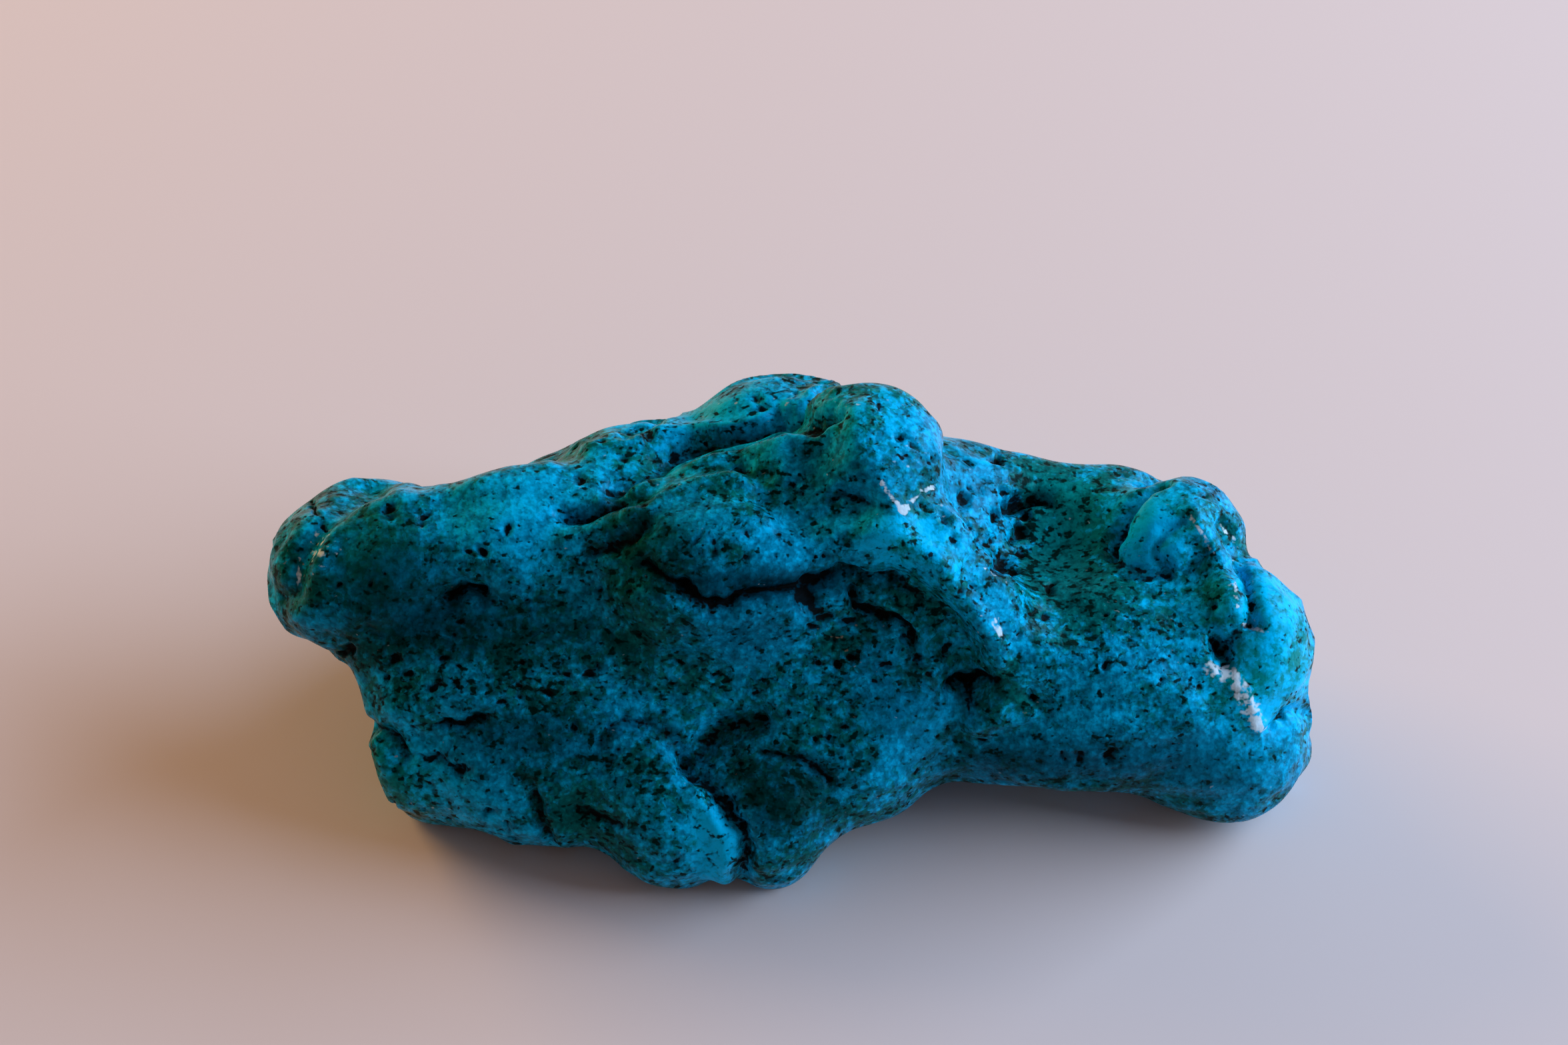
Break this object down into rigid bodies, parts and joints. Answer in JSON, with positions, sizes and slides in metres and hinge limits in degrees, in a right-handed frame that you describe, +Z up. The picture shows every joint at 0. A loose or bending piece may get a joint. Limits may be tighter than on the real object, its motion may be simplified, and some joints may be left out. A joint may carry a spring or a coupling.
{
  "type": "raw turquoise nugget",
  "caption": "Natural palm-size stone with rounded lumps, a raised peak, a diagonal ridge, crevices and pits, lying on flat worn feet.",
  "frame": {"origin": "middle of the stone's box, on the surface that it rests on", "axes": "+X along the stone to its forked end, +Y away from the side with the arm and toes, +Z up"},
  "size_m": [0.12, 0.0598, 0.0478],
  "materials": {
    "turquoise": "waxed raw turquoise, semi-gloss, bright blue to teal-green with dark brown pits and pale crust"
  },
  "bodies": {
    "root": {"turquoise_nugget": "turquoise"}
  },
  "joints": []
}
